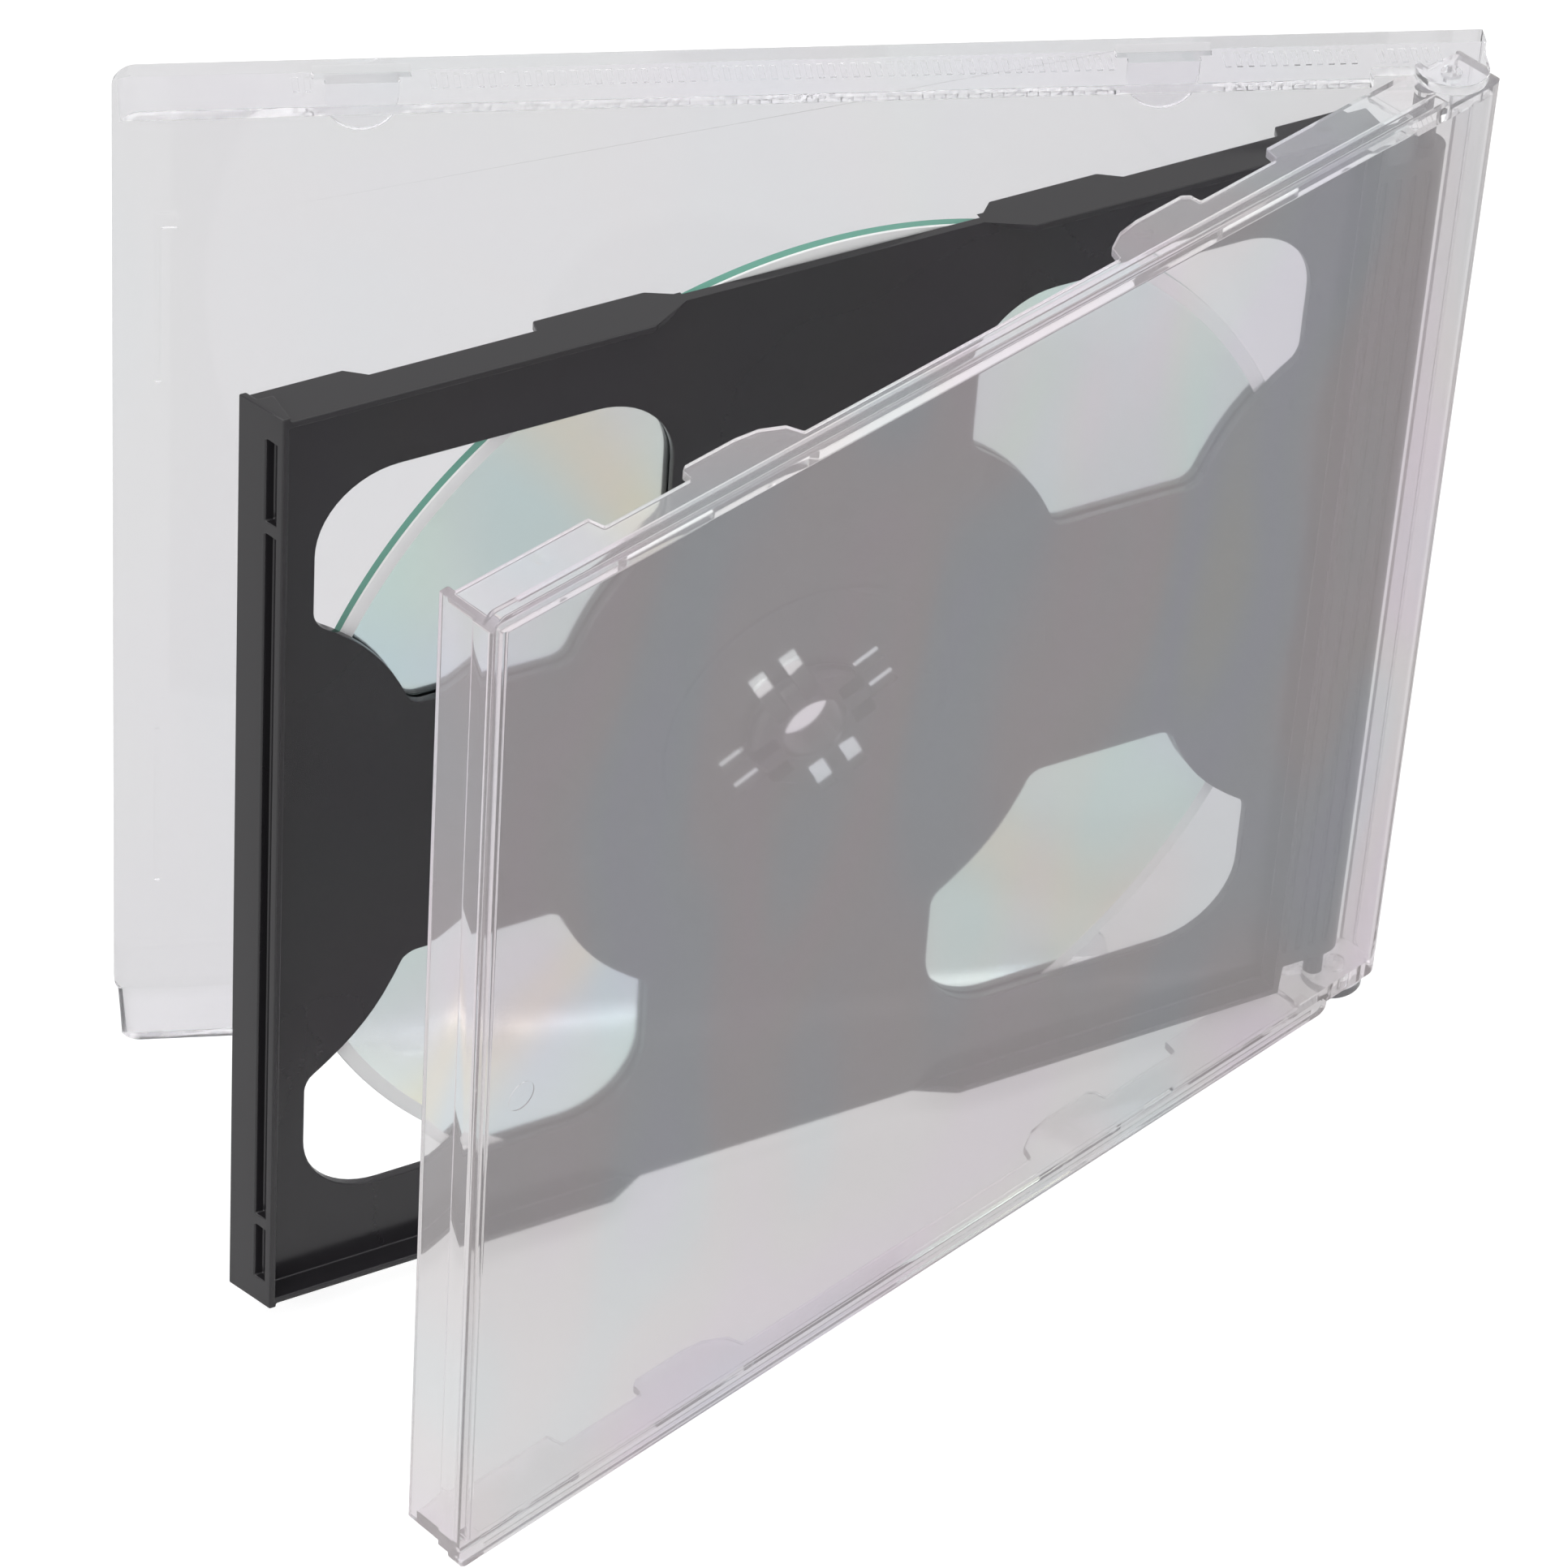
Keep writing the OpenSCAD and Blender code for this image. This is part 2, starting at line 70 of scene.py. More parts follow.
class ClearSettings(bpy.types.PropertyGroup):
    edge: bpy.props.FloatProperty(
        name="Moulded edge", description="Radius of the clear parts' edges",
        default=0.16 * MM, min=0.0, unit="LENGTH", precision=5)
    base_tint: bpy.props.FloatVectorProperty(
        name="Base tint", description="Colour that light takes in the base",
        subtype="COLOR", default=(0.95, 0.94, 0.96))
    lid_tint: bpy.props.FloatVectorProperty(
        name="Lid tint", description="Colour that light takes in the lid",
        subtype="COLOR", default=(0.95, 0.948, 0.965))
    base_haze: bpy.props.FloatProperty(
        name="Base haze", description="Share of the light that the base scatters",
        default=0.145, min=0.0, max=1.0, subtype="FACTOR")
    lid_haze: bpy.props.FloatProperty(
        name="Lid haze", description="Share of the light that the lid scatters",
        default=0.06, min=0.0, max=1.0, subtype="FACTOR")
    # Rainbow sets the strength of a painted rainbow sheen in the clear plastic's colour.
    rainbow: bpy.props.FloatProperty(
        name="Rainbow", description="Strength of the pale colours in the base's plastic",
        default=0.22, min=0.0, max=1.0, subtype="FACTOR")


class TraySettings(bpy.types.PropertyGroup):
    edge: bpy.props.FloatProperty(
        name="Moulded edge", description="Radius of the tray's edges",
        default=0.16 * MM, min=0.0, unit="LENGTH", precision=5)
    nose: bpy.props.FloatProperty(
        name="Opening's inner corner", description="Radius of the finger openings' inner corners",
        default=1.6 * MM, min=0.0, unit="LENGTH", precision=5)
    colour: bpy.props.FloatVectorProperty(
        name="Colour", description="Colour of the black tray",
        subtype="COLOR", default=(0.0155, 0.0145, 0.0165))


class DiscSettings(bpy.types.PropertyGroup):
    colour: bpy.props.FloatVectorProperty(
        name="Mirror colour", description="Colour of the disc's mirror layer",
        subtype="COLOR", default=(0.88, 1.0, 0.95))
    mirror_from: bpy.props.FloatProperty(
        name="Mirror's inner radius", description="Radius where the mirror layer begins",
        default=21.5 * MM, unit="LENGTH")
    mirror_to: bpy.props.FloatProperty(
        name="Mirror's outer radius", description="Radius where the mirror layer ends",
        default=58.4 * MM, unit="LENGTH")
    edge: bpy.props.FloatProperty(
        name="Edge bevel", description="Bevel of the disc's edges", default=0.1 * MM, unit="LENGTH")


class StudioSettings(bpy.types.PropertyGroup):
    floor: bpy.props.FloatProperty(
        name="Floor size", description="Side of the pale floor", default=8.0, unit="LENGTH")
    key: bpy.props.FloatProperty(
        name="Key light", description="Power of the large lamp overhead", default=3.0)
    side: bpy.props.FloatProperty(
        name="Side light", description="Power of the lamp on the left", default=2.8)
    rim: bpy.props.FloatProperty(
        name="Edge light", description="Power of the small lamp that lights the top edges", default=0.8)
    fill: bpy.props.FloatProperty(
        name="Surrounding light", description="Strength of the light from all round", default=0.6)
    lens: bpy.props.FloatProperty(
        name="Focal length", description="Focal length in millimetres on a 36 mm sensor", default=168.912)


# Helpers for node trees


def new_material(name):
    """An empty material and its node tree."""
    material = bpy.data.materials.new(name)
    material.use_nodes = True
    material.node_tree.nodes.clear()
    return material, material.node_tree


def add(tree, kind, **values):
    """A new node with its input sockets set by name."""
    node = tree.nodes.new(kind)
    for key, value in values.items():
        node.inputs[key.replace("_", " ")].default_value = value
    return node


def finish_with(tree, shader):
    """Link a shader to the material's output."""
    out = tree.nodes.new("ShaderNodeOutputMaterial")
    tree.links.new(shader, out.inputs["Surface"])


def socket_value(tree, socket, value):
    """Set a socket to a number or a colour, or link it."""
    if isinstance(value, bpy.types.NodeSocket):
        tree.links.new(value, socket)
    elif isinstance(value, (int, float)):
        socket.default_value = value
    else:
        socket.default_value = (*value, 1.0)


def calculate(tree, operation, *values):
    """A math node's result."""
    node = tree.nodes.new("ShaderNodeMath")
    node.operation = operation
    for socket, value in zip(node.inputs, values):
        socket_value(tree, socket, value)
    return node.outputs[0]


def mix_colour(tree, factor, a, b):
    """A colour between two others."""
    node = tree.nodes.new("ShaderNodeMix")
    node.data_type = "RGBA"
    for name, value in (("Factor", factor), ("A", a), ("B", b)):
        socket_value(tree, next(s for s in node.inputs if s.name == name and s.enabled), value)
    return next(s for s in node.outputs if s.enabled)


def ramp(tree, factor, stops, interpolation="EASE"):
    """Colours along a factor."""
    node = tree.nodes.new("ShaderNodeValToRGB")
    node.color_ramp.interpolation = interpolation
    elements = node.color_ramp.elements
    while len(elements) < len(stops):
        elements.new(0.5)
    for element, (place, colour) in zip(elements, stops):
        element.position = place
        element.color = (*colour, 1.0)
    tree.links.new(factor, node.inputs["Fac"])
    return node.outputs["Color"]


def object_place(tree, rotation=(0, 0, 0), scale=(1, 1, 1)):
    """Object coordinates, turned and stretched."""
    coordinates = tree.nodes.new("ShaderNodeTexCoord")
    mapping = add(tree, "ShaderNodeMapping", Rotation=rotation, Scale=scale)
    tree.links.new(coordinates.outputs["Object"], mapping.inputs["Vector"])
    return mapping.outputs["Vector"]


def effect_group(name, inputs, output, build):
    """A node group with named inputs and one output, made once."""
    group = bpy.data.node_groups.get(name)
    if group is None:
        group = bpy.data.node_groups.new(name, "ShaderNodeTree")
        for label, kind in inputs:
            group.interface.new_socket(label, in_out="INPUT", socket_type=kind)
        group.interface.new_socket(output[0], in_out="OUTPUT", socket_type=output[1])
        entry = group.nodes.new("NodeGroupInput")
        leave = group.nodes.new("NodeGroupOutput")
        group.links.new(build(group, entry), leave.inputs[output[0]])
    return group


def use_group(tree, group, **values):
    """A node that uses a group, with its inputs set or linked."""
    node = tree.nodes.new("ShaderNodeGroup")
    node.node_tree = group
    for key, value in values.items():
        socket_value(tree, node.inputs[key], value)
    return node.outputs[0]


# Materials


def painted_rainbow_sheen():
    """Soft pastel clouds: a painted rainbow sheen, standing in for the colours that light shows in clear moulded
    plastic.
    """
    def build(tree, entry):
        flow = add(tree, "ShaderNodeTexNoise", Scale=1.0, Detail=1.2)
        tree.links.new(entry.outputs["Vector"], flow.inputs["Vector"])
        pastel = ramp(tree, flow.outputs["Fac"], [
            (0.30, (0.82, 0.84, 1.00)), (0.42, (1.00, 0.82, 0.95)), (0.50, (0.98, 0.92, 0.86)),
            (0.57, (0.84, 0.97, 0.92)), (0.65, (0.90, 0.84, 1.00)), (0.76, (1.00, 0.86, 0.94))])
        return mix_colour(tree, entry.outputs["Strength"], entry.outputs["Tint"], pastel)
    inputs = (("Vector", "NodeSocketVector"), ("Strength", "NodeSocketFloat"), ("Tint", "NodeSocketColor"))
    return effect_group("painted rainbow sheen", inputs, ("Color", "NodeSocketColor"), build)


def mould_clouds():
    """Slow changes from place to place, as a mould's polish leaves them."""
    def build(tree, entry):
        noise = add(tree, "ShaderNodeTexNoise", Detail=3.0)
        tree.links.new(entry.outputs["Vector"], noise.inputs["Vector"])
        tree.links.new(entry.outputs["Scale"], noise.inputs["Scale"])
        spread = calculate(tree, "SUBTRACT", entry.outputs["High"], entry.outputs["Low"])
        return calculate(tree, "ADD", calculate(tree, "MULTIPLY", noise.outputs["Fac"], spread), entry.outputs["Low"])
    inputs = (("Vector", "NodeSocketVector"), ("Scale", "NodeSocketFloat"),
              ("Low", "NodeSocketFloat"), ("High", "NodeSocketFloat"))
    return effect_group("mould clouds", inputs, ("Value", "NodeSocketFloat"), build)


def clear_plastic(name, tint, haze, rainbow, ior, film_depth):
    """Clear moulded plastic: it lets lamps through, and scatters a little light; its colour carries a painted rainbow
    sheen.
    """
    material, tree = new_material(name)
    plastic = add(tree, "ShaderNodeBsdfPrincipled", IOR=ior)
    plastic.inputs["Transmission Weight"].default_value = 1.0 - haze
    # Painted rainbow sheen: pale colours painted into the plastic's colour, which also tints the light that passes
    # through.
    sheen_place = object_place(tree, rotation=(0, 0.6, 0), scale=(34, 10, 15))
    colour = use_group(tree, painted_rainbow_sheen(), Vector=sheen_place, Strength=rainbow, Tint=tint)
    tree.links.new(colour, plastic.inputs["Base Color"])
    film = add(tree, "ShaderNodeTexNoise", Scale=1.0, Detail=1.0)
    tree.links.new(sheen_place, film.inputs["Vector"])
    depth = calculate(tree, "MULTIPLY_ADD", film.outputs["Fac"], film_depth, film_depth * 0.27)
    tree.links.new(depth, plastic.inputs["Thin Film Thickness"])
    plastic.inputs["Thin Film IOR"].default_value = 1.49
    rough = use_group(tree, mould_clouds(), Vector=object_place(tree), Scale=40.0, Low=0.015, High=0.05)
    tree.links.new(rough, plastic.inputs["Roughness"])
    through = add(tree, "ShaderNodeBsdfTransparent", Color=(0.9, 0.9, 0.91, 1))
    path = tree.nodes.new("ShaderNodeLightPath")
    mixer = tree.nodes.new("ShaderNodeMixShader")
    tree.links.new(path.outputs["Is Shadow Ray"], mixer.inputs[0])
    tree.links.new(plastic.outputs[0], mixer.inputs[1])
    tree.links.new(through.outputs[0], mixer.inputs[2])
    finish_with(tree, mixer.outputs[0])
    return material


def black_plastic(name, colour):
    """Black moulded plastic with a soft gloss."""
    material, tree = new_material(name)
    plastic = add(tree, "ShaderNodeBsdfPrincipled", IOR=1.5)
    place = object_place(tree)
    rough = use_group(tree, mould_clouds(), Vector=place, Scale=30.0, Low=0.12, High=0.26)
    tree.links.new(rough, plastic.inputs["Roughness"])
    clouds = use_group(tree, mould_clouds(), Vector=place, Scale=14.0, Low=0.0, High=1.0)
    paler = tuple(min(1.0, c * 1.5) for c in colour)
    tree.links.new(mix_colour(tree, clouds, colour, paler), plastic.inputs["Base Color"])
    grain = add(tree, "ShaderNodeTexNoise", Scale=1500.0, Detail=1.0)
    tree.links.new(place, grain.inputs["Vector"])
    bump = add(tree, "ShaderNodeBump", Strength=0.02, Distance=0.00002)
    tree.links.new(grain.outputs["Fac"], bump.inputs["Height"])
    tree.links.new(bump.outputs["Normal"], plastic.inputs["Normal"])
    finish_with(tree, plastic.outputs[0])
    return material


def disc_turn():
    """Takes the disc's own axes, with Y along its axis, to where it lies on the open tray."""
    return Matrix.Translation(DISC_CENTRE) @ Matrix.Rotation(TRAY_ANGLE, 4, "Z")


def disc_place(tree):
    """Coordinates in the disc's own axes: X away from the spine's far side, Z up, Y along its axis."""
    coordinates = tree.nodes.new("ShaderNodeTexCoord")
    shift = add(tree, "ShaderNodeMapping", Location=tuple(-DISC_CENTRE))
    tree.links.new(coordinates.outputs["Object"], shift.inputs["Vector"])
    turn = add(tree, "ShaderNodeMapping", Rotation=(0, 0, -TRAY_ANGLE))
    tree.links.new(shift.outputs["Vector"], turn.inputs["Vector"])
    split = tree.nodes.new("ShaderNodeSeparateXYZ")
    tree.links.new(turn.outputs["Vector"], split.inputs[0])
    return split.outputs["X"], split.outputs["Z"]


def disc_radius(tree, x, z):
    """Distance from the disc's axis."""
    squares = calculate(tree, "ADD", calculate(tree, "MULTIPLY", x, x), calculate(tree, "MULTIPLY", z, z))
    return calculate(tree, "SQRT", squares)


def mirror_layer(name, colour, gloss):
    """Mirror layer with painted rainbow streaks, a painted diffraction sheen, that run out from the middle."""
    material, tree = new_material(name)
    x, z = disc_place(tree)
    radius = disc_radius(tree, x, z)
    turn = calculate(tree, "DIVIDE", calculate(tree, "ARCTAN2", z, x), 2 * math.pi)
    turn = calculate(tree, "FRACT", calculate(tree, "ADD", turn, 1.0))
    # Painted diffraction sheen: rainbow streaks painted into the mirror's colour by angle, faded at random.
    mint, cream, sky, pale = (0.84, 1.0, 0.94), (1.0, 0.97, 0.80), (0.80, 0.95, 1.0), (0.94, 1.0, 0.97)
    painted_streaks = ramp(tree, turn, [
        (0.00, mint), (0.08, mint), (0.12, pale), (0.15, mint), (0.22, pale), (0.29, mint), (0.315, pale),
        (0.34, cream), (0.365, mint), (0.40, mint), (0.435, sky), (0.455, cream), (0.48, mint), (0.56, mint),
        (0.60, pale), (0.625, cream), (0.65, sky), (0.70, mint), (0.78, pale), (0.84, mint), (0.87, cream),
        (0.90, mint), (1.00, mint)])
    fade = add(tree, "ShaderNodeTexNoise", Scale=60.0, Detail=1.0)
    tree.links.new(object_place(tree), fade.inputs["Vector"])
    colours = mix_colour(tree, calculate(tree, "MULTIPLY", fade.outputs["Fac"], 0.3), painted_streaks, colour)
    tracks = calculate(tree, "SINE", calculate(tree, "MULTIPLY", radius, 2400.0))
    tracks = calculate(tree, "ADD", calculate(tree, "MULTIPLY", tracks, 0.02), 0.98)
    dark = tuple(c * 0.8 for c in colour)
    colours = mix_colour(tree, tracks, dark, colours)
    layer = add(tree, "ShaderNodeBsdfPrincipled", Roughness=gloss, IOR=1.58, Metallic=1.0)
    layer.inputs["Coat Weight"].default_value = 0.5
    layer.inputs["Coat Roughness"].default_value = 0.02
    tree.links.new(colours, layer.inputs["Base Color"])
    finish_with(tree, layer.outputs[0])
    return material


def disc_plastic(name, colour, transmission):
    """The disc's own clear plastic."""
    material, tree = new_material(name)
    plastic = add(tree, "ShaderNodeBsdfPrincipled", Roughness=0.03, IOR=1.3)
    plastic.inputs["Transmission Weight"].default_value = transmission
    x, z = disc_place(tree)
    ring = calculate(tree, "SINE", calculate(tree, "MULTIPLY", disc_radius(tree, x, z), 900.0))
    paler = tuple(min(1.0, c * 1.1) for c in colour)
    soft = calculate(tree, "ADD", calculate(tree, "MULTIPLY", ring, 0.25), 0.5)
    tree.links.new(mix_colour(tree, soft, colour, paler), plastic.inputs["Base Color"])
    through = add(tree, "ShaderNodeBsdfTransparent", Color=(0.9, 0.95, 0.93, 1))
    path = tree.nodes.new("ShaderNodeLightPath")
    mixer = tree.nodes.new("ShaderNodeMixShader")
    tree.links.new(path.outputs["Is Shadow Ray"], mixer.inputs[0])
    tree.links.new(plastic.outputs[0], mixer.inputs[1])
    tree.links.new(through.outputs[0], mixer.inputs[2])
    finish_with(tree, mixer.outputs[0])
    return material


# Pieces


def piece_from(shape, name, materials, body):
    """A finished piece from a bmesh, at the origin and on its body."""
    mesh = bpy.data.meshes.new(name)
    for face in shape.faces:
        face.smooth = True
    shape.to_mesh(mesh)
    shape.free()
    for material in materials:
        mesh.materials.append(material)
    mesh.set_sharp_from_angle(angle=math.radians(35))
    piece = bpy.data.objects.new(name, mesh)
    bpy.context.scene.collection.objects.link(piece)
    normals = piece.modifiers.new("even shading", "WEIGHTED_NORMAL")
    normals.keep_sharp = True
    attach(piece, body)
    return piece


def round_edges(shape, edges, width, segments):
    """Round some edges of a bmesh."""
    bmesh.ops.bevel(
        shape, geom=edges, offset=width, offset_type="OFFSET", affect="EDGES", segments=segments, profile=0.5,
        material=-1, clamp_overlap=False, miter_outer="ARC", miter_inner="SHARP")


def sharp_edges(shape):
    """Edges that a mould would leave slightly round."""
    return [e for e in shape.edges if len(e.link_faces) == 2 and e.calc_face_angle(0) > math.radians(32)]


def roomy_edges(shape, width):
    """Sharp edges with enough face on both sides, and enough length, to take a rounding of this width."""
    room = 3 * width
    found = []
    for edge in sharp_edges(shape):
        start = edge.verts[0].co
        along = (edge.verts[1].co - start).normalized()
        depths = [max((v.co - start).cross(along).length for v in face.verts) for face in edge.link_faces]
        if edge.calc_length() > room and min(depths) > room:
            found.append(edge)
    tight = True
    while tight:
        kept = set(found)
        tight = [e for e in found if any(
            n not in kept and n.calc_length() < 2 * width for v in e.verts for n in v.link_edges)]
        found = [e for e in found if e not in set(tight)]
    return found


def moulded_copy(node):
    """A joined bmesh of a CAD solid, with flat faces in one piece."""
    shape = bmesh.new()
    shape.from_mesh(frame["nodes"][node].data)
    bmesh.ops.remove_doubles(shape, verts=shape.verts, dist=0.000002)
    bmesh.ops.dissolve_limit(
        shape, angle_limit=math.radians(0.6), verts=shape.verts, edges=shape.edges, use_dissolve_boundaries=False)
    for face in shape.faces:
        face.material_index = 0
    return shape


def opening_noses(shape):
    """Edges through the tray's web where a finger opening's outline has a corner that points inwards."""
    back = disc_turn().inverted()
    found = []
    for edge in sharp_edges(shape):
        a, b = (back @ v.co for v in edge.verts)
        along = (b - a).normalized()
        middle = (a + b) / 2
        across, up = abs(middle.x) / MM, abs(middle.z) / MM
        through_web = abs(along.y) > 0.999 and (b - a).length > 0.6 * MM
        at_side = 29 < up < 32 and (16 < across < 18.5 or 56 < across < 58)
        at_foot = 16 < up < 17.5 and 27 < across < 47
        if through_web and (at_side or at_foot):
            found.append(edge)
    return found


def wider(across):
    """Where a point beside a finger's middle line goes when the slots are widened, in millimetres."""
    if across < 1.32:
        return across * 1.0 / 1.3
    return 2.95 + max(0.0, across - 2.6) * 0.5


def open_hub(shape):
    """Widen the hub's bore, and widen and lengthen the eight slots beside its fingers, for more light."""
    into = disc_turn().inverted()
    for vertex in shape.verts:
        p = into @ vertex.co / MM
        radius = math.hypot(p.x, p.z)
        if radius < 4:
            grown = (3.5 + (radius - 3.0) * 0.55) / radius
            vertex.co = disc_turn() @ (Vector((p.x * grown, p.y, p.z * grown)) * MM)
            continue
        for angle in FINGER_ANGLES:
            c, s = math.cos(math.radians(angle)), math.sin(math.radians(angle))
            along, across = p.x * c + p.z * s, p.z * c - p.x * s
            if 5.4 < along < 9.5 and abs(across) < 3.3:
                across = math.copysign(wider(abs(across)), across)
                along = 4.1 if along < 5.7 else 10.3 if along > 9.2 else along
                moved = Vector((along * c - across * s, p.y, along * s + across * c))
                vertex.co = disc_turn() @ (moved * MM)
                break


class CASE_OT_clear_base(bpy.types.Operator):
    """Make the clear base"""
    bl_idname = "disc_case.clear_base"
    bl_label = "Clear base"

    def execute(self, context):
        s = context.scene.disc_case_clear
        shape = moulded_copy("base")
        round_edges(shape, roomy_edges(shape, s.edge), s.edge, 2)
        plastic = clear_plastic("clear base plastic", tuple(s.base_tint), s.base_haze, s.rainbow, 1.56, 400.0)
        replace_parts(piece_from(shape, "clear_base", [plastic], "base"), "base")
        return {"FINISHED"}


class CASE_OT_clear_lid(bpy.types.Operator):
    """Make the clear lid"""
    bl_idname = "disc_case.clear_lid"
    bl_label = "Clear lid"

    def execute(self, context):
        s = context.scene.disc_case_clear
        shape = moulded_copy("lid")
        round_edges(shape, roomy_edges(shape, s.edge * 0.7), s.edge * 0.7, 2)
        plastic = clear_plastic("clear lid plastic", tuple(s.lid_tint), s.lid_haze, 0.05, 1.25, 0.0)
        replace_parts(piece_from(shape, "clear_lid", [plastic], "lid"), "lid")
        return {"FINISHED"}


class CASE_OT_tray(bpy.types.Operator):
    """Make the black tray"""
    bl_idname = "disc_case.tray"
    bl_label = "Black tray"

    def execute(self, context):
        s = context.scene.disc_case_tray
        shape = moulded_copy("tray")
        open_hub(shape)
        round_edges(shape, opening_noses(shape), s.nose, 5)
        round_edges(shape, roomy_edges(shape, s.edge), s.edge, 2)
        plastic = black_plastic("black tray plastic", tuple(s.colour))
        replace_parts(piece_from(shape, "black_tray", [plastic], "tray"), "tray")
        return {"FINISHED"}


class CASE_OT_disc(bpy.types.Operator):
    """Make the mirrored disc"""
    bl_idname = "disc_case.disc"
    bl_label = "Mirrored disc"

    def execute(self, context):
        s = context.scene.disc_case_disc
        inner = 7.5 * MM
        half = 0.6 * MM
        e = s.edge
        outline = [
            (inner, e - half), (inner + e, -half), (s.mirror_from, -half), (s.mirror_to, -half),
            (DISC_RADIUS - e, -half), (DISC_RADIUS, e - half), (DISC_RADIUS, -half * 0.7), (DISC_RADIUS, half - e),
            (DISC_RADIUS - e, half), (s.mirror_to, half), (s.mirror_from, half), (inner + e, half),
            (inner, half - e)]
        shape = bmesh.new()
        points = [shape.verts.new((r, y, 0)) for r, y in outline]
        edges = [shape.edges.new((a, b)) for a, b in zip(points, points[1:] + points[:1])]
        bmesh.ops.spin(
            shape, geom=points + edges, cent=(0, 0, 0), axis=(0, 1, 0), angle=2 * math.pi, steps=240, use_merge=True)
        bmesh.ops.recalc_face_normals(shape, faces=shape.faces)
        for face in shape.faces:
            middle = face.calc_center_median()
            r = math.hypot(middle.x, middle.z)
            if s.mirror_from < r < s.mirror_to:
                face.material_index = 0 if middle.y < 0 else 1
            elif r < s.mirror_from:
                face.material_index = 2
            else:
                face.material_index = 4 if r > DISC_RADIUS - e and middle.y > -half * 0.7 else 3
        bmesh.ops.transform(shape, matrix=disc_turn(), verts=shape.verts)
        materials = [
            mirror_layer("disc mirror layer", tuple(s.colour), 0.14),
            mirror_layer("disc label side", (0.66, 0.70, 0.70), 0.30),
            disc_plastic("disc clear middle", (0.86, 0.94, 0.91), 0.95),
            disc_plastic("disc pale rim", (1.0, 1.0, 1.0), 0.15),
            disc_plastic("disc green edge", (0.16, 0.42, 0.33), 0.35)]
        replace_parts(piece_from(shape, "mirror_disc", materials, "tray"), "disc")
        return {"FINISHED"}


# Studio


def camera_matrix(place, yaw, pitch, roll):
    """A camera's matrix from its place in metres and its angles in degrees."""
    yaw, pitch, roll = (math.radians(a) for a in (yaw, pitch, roll))
    ahead = Vector((math.cos(pitch) * math.cos(yaw), math.cos(pitch) * math.sin(yaw), -math.sin(pitch)))
    level = Vector((math.sin(yaw), -math.cos(yaw), 0))
    upright = level.cross(ahead)
    right = math.cos(roll) * level + math.sin(roll) * upright
    up = -math.sin(roll) * level + math.cos(roll) * upright
    turn = Matrix((right, up, -ahead)).transposed().to_4x4()
    return Matrix.Translation(Vector(place)) @ turn


def add_lamp(name, place, target, size, power):
    """A rectangular soft lamp that points at a target."""
    lamp = bpy.data.lights.new(name, "AREA")
    lamp.shape = "RECTANGLE"
    lamp.size, lamp.size_y = size
    lamp.energy = power
    holder = bpy.data.objects.new(name, lamp)
    holder.location = place
    holder.rotation_euler = (Vector(target) - Vector(place)).to_track_quat("-Z", "Y").to_euler()
    bpy.context.scene.collection.objects.link(holder)


def by_ray(tree, seen, shine, clear, other):
    """A strength for each kind of ray: seen by the camera, reflected, through glass, and any other."""
    path = tree.nodes.new("ShaderNodeLightPath")
    through = path.outputs["Is Transmission Ray"]
    reflected = calculate(tree, "SUBTRACT", path.outputs["Is Glossy Ray"], through)
    total = other
    for kind, value in ((path.outputs["Is Camera Ray"], seen), (reflected, shine), (through, clear)):
        total = calculate(tree, "ADD", total, calculate(tree, "MULTIPLY", kind, value))
    return total


def make_floor(size):
    """A pale floor that glows just enough to look white; through glass its glow is a touch lower behind the case."""
    mesh = bpy.data.meshes.new("studio_floor")
    shape = bmesh.new()
    bmesh.ops.create_grid(shape, x_segments=1, y_segments=1, size=size / 2)
    bmesh.ops.translate(shape, verts=shape.verts, vec=(0, 0, -0.0002))
    shape.to_mesh(mesh)
    shape.free()
    floor = bpy.data.objects.new("studio_floor", mesh)
    bpy.context.scene.collection.objects.link(floor)
    material, tree = new_material("pale floor")
    paper = add(tree, "ShaderNodeBsdfDiffuse", Color=(0.4, 0.4, 0.4, 1))
    glow = tree.nodes.new("ShaderNodeEmission")
    split = tree.nodes.new("ShaderNodeSeparateXYZ")
    tree.links.new(object_place(tree, rotation=(0, 0, math.radians(-43))), split.inputs[0])
    behind = tree.nodes.new("ShaderNodeMapRange")
    behind.interpolation_type = "SMOOTHSTEP"
    for label, value in (("From Min", 0.02), ("From Max", 0.22), ("To Min", 0.38), ("To Max", 0.37)):
        behind.inputs[label].default_value = value
    tree.links.new(split.outputs["X"], behind.inputs["Value"])
    strength = by_ray(tree, 0.80, 0.42, behind.outputs["Result"], 0.0)
    tree.links.new(strength, glow.inputs["Strength"])
    both = tree.nodes.new("ShaderNodeAddShader")
    tree.links.new(paper.outputs[0], both.inputs[0])
    tree.links.new(glow.outputs[0], both.inputs[1])
    finish_with(tree, both.outputs[0])
    mesh.materials.append(material)


def make_surroundings(fill):
    """White surroundings with a softer light for matt surfaces."""
    world = bpy.data.worlds.new("studio surroundings")
    world.use_nodes = True
    tree = world.node_tree
    tree.nodes.clear()
    sky = add(tree, "ShaderNodeBackground", Color=(1, 1, 1, 1))
    tree.links.new(by_ray(tree, 1.0 - fill, 0.9 - fill, 1.0 - fill, fill), sky.inputs["Strength"])
    out = tree.nodes.new("ShaderNodeOutputWorld")
    tree.links.new(sky.outputs[0], out.inputs["Surface"])
    bpy.context.scene.world = world


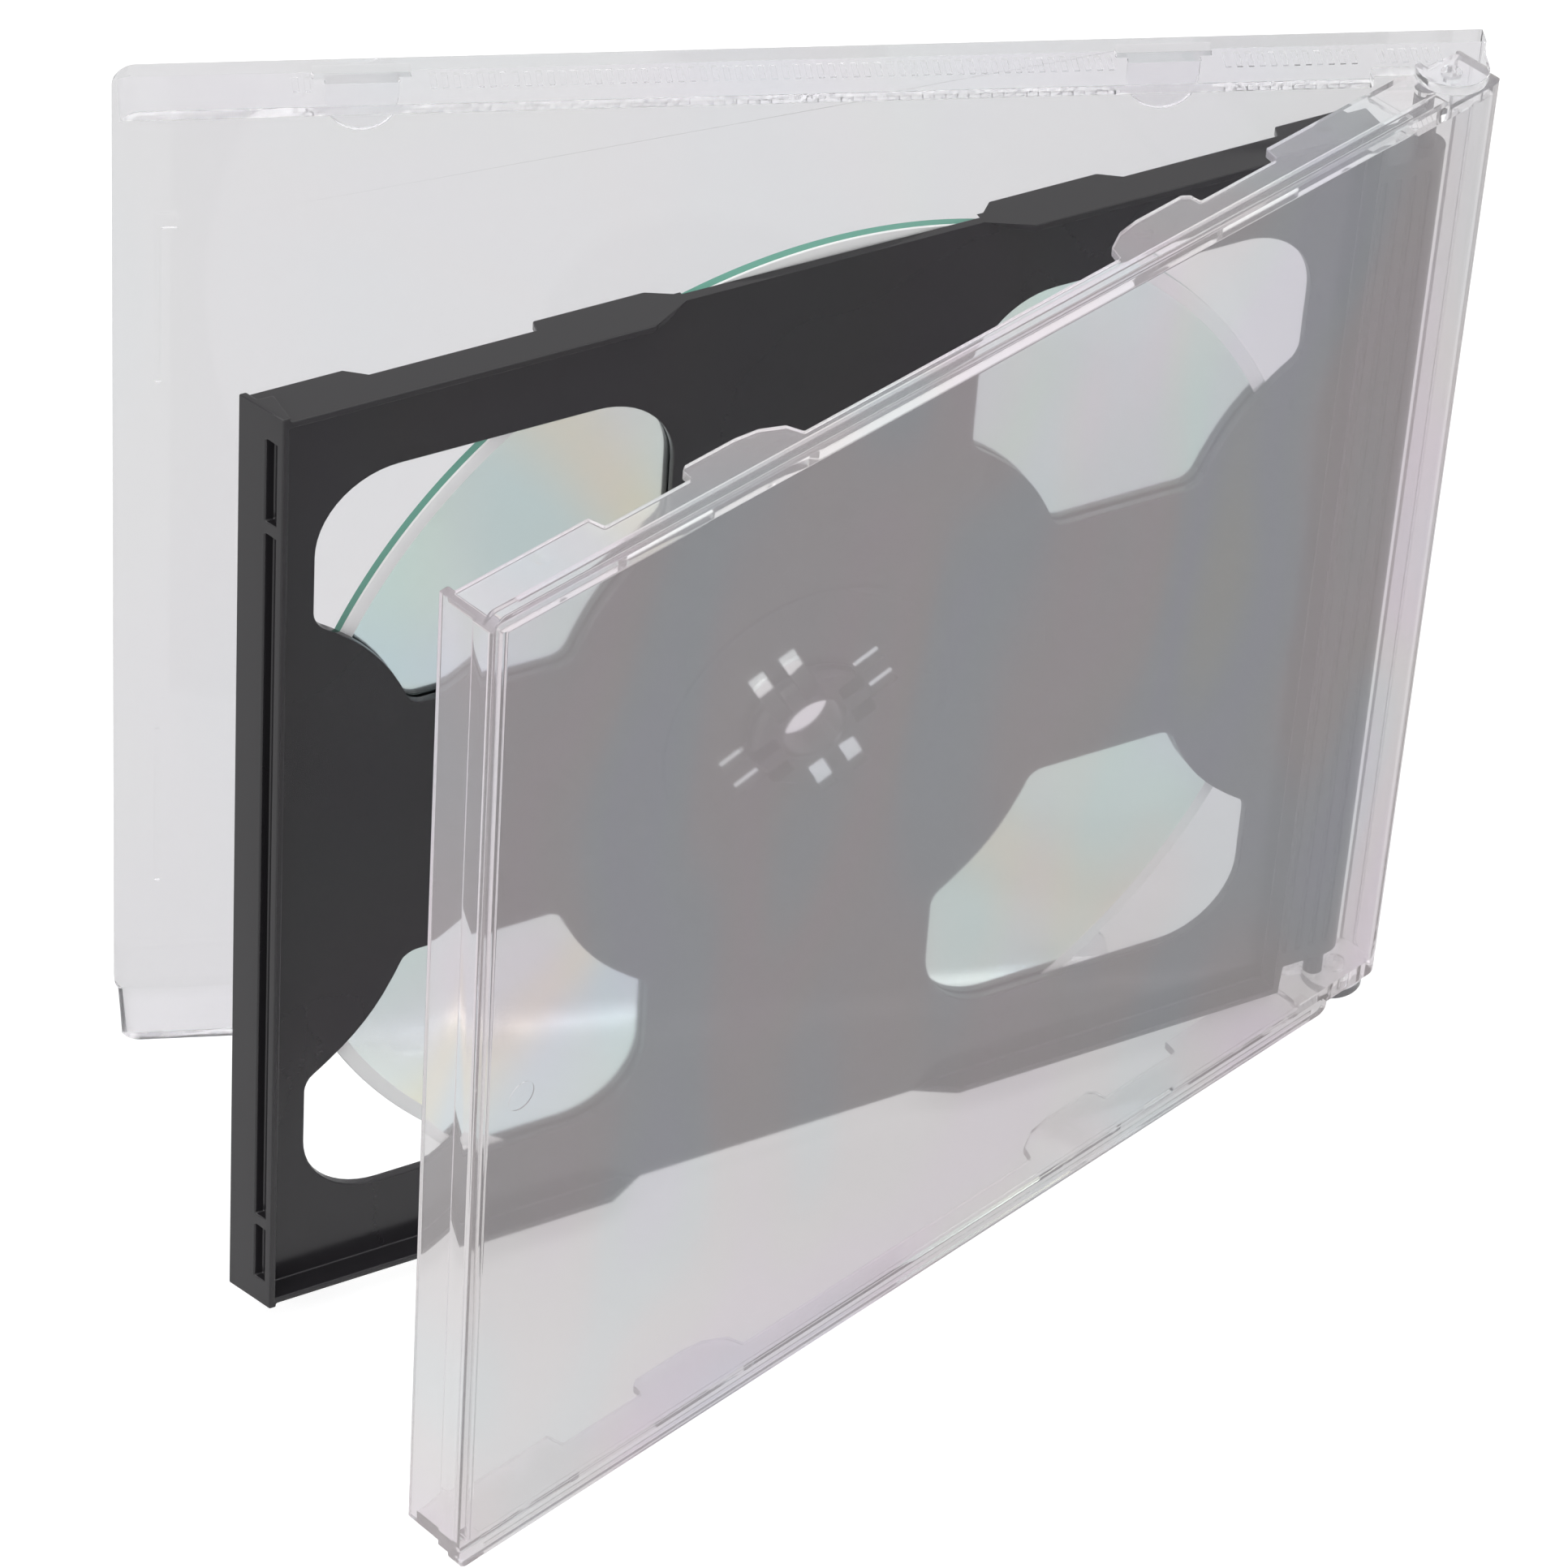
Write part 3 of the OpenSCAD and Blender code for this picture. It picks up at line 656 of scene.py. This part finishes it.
class CASE_OT_studio(bpy.types.Operator):
    """Make the floor, the soft light and the camera"""
    bl_idname = "disc_case.studio"
    bl_label = "Studio"

    def execute(self, context):
        s = context.scene.disc_case_studio
        make_floor(s.floor)
        make_surroundings(s.fill)
        add_lamp("overhead softbox", (-0.15, 0.05, 0.9), (0, 0.03, 0.06), (0.9, 0.9), s.key)
        add_lamp("side softbox", (-0.9, 0.05, 0.35), (-0.05, 0.02, 0.06), (0.6, 0.5), s.side)
        add_lamp("edge softbox", (0.35, -0.62, 0.58), (0, 0.03, 0.08), (0.6, 0.12), s.rim)
        camera = bpy.data.cameras.new("photo camera")
        camera.sensor_fit = "HORIZONTAL"
        camera.sensor_width = 36
        camera.lens = s.lens
        camera.clip_start, camera.clip_end = 0.01, 20
        eye = bpy.data.objects.new("photo camera", camera)
        context.scene.collection.objects.link(eye)
        eye.matrix_world = camera_matrix((-0.44008, -0.38207, 0.54847), 42.954, 39.718, 4.189)
        context.scene.camera = eye
        context.scene.view_settings.view_transform = "Standard"
        return {"FINISHED"}


# Add-on


class CASE_PT_panel(bpy.types.Panel):
    """Lists the sizes, the colours and the steps"""
    bl_label = "Disc Case"
    bl_idname = "CASE_PT_panel"
    bl_space_type = "VIEW_3D"
    bl_region_type = "UI"
    bl_category = "Disc Case"

    def draw(self, context):
        for settings, operators in STEPS.items():
            box = self.layout.box()
            group = getattr(context.scene, settings)
            for name in group.__annotations__:
                box.prop(group, name)
            for operator in operators:
                box.operator(operator.bl_idname)


GROUPS = {
    "disc_case_clear": ClearSettings,
    "disc_case_tray": TraySettings,
    "disc_case_disc": DiscSettings,
    "disc_case_studio": StudioSettings,
}
STEPS = {
    "disc_case_clear": (CASE_OT_clear_base, CASE_OT_clear_lid),
    "disc_case_tray": (CASE_OT_tray,),
    "disc_case_disc": (CASE_OT_disc,),
    "disc_case_studio": (CASE_OT_studio,),
}
CLASSES = (*GROUPS.values(), *(o for step in STEPS.values() for o in step), CASE_PT_panel)


def register():
    for cls in CLASSES:
        bpy.utils.register_class(cls)
    for name, group in GROUPS.items():
        setattr(bpy.types.Scene, name, bpy.props.PointerProperty(type=group))


def unregister():
    for name in GROUPS:
        delattr(bpy.types.Scene, name)
    for cls in reversed(CLASSES):
        bpy.utils.unregister_class(cls)


def main():
    register()
    bpy.ops.disc_case.clear_base()
    bpy.ops.disc_case.clear_lid()
    bpy.ops.disc_case.tray()
    bpy.ops.disc_case.disc()
    bpy.ops.disc_case.studio()


if __name__ == "__main__":
    main()
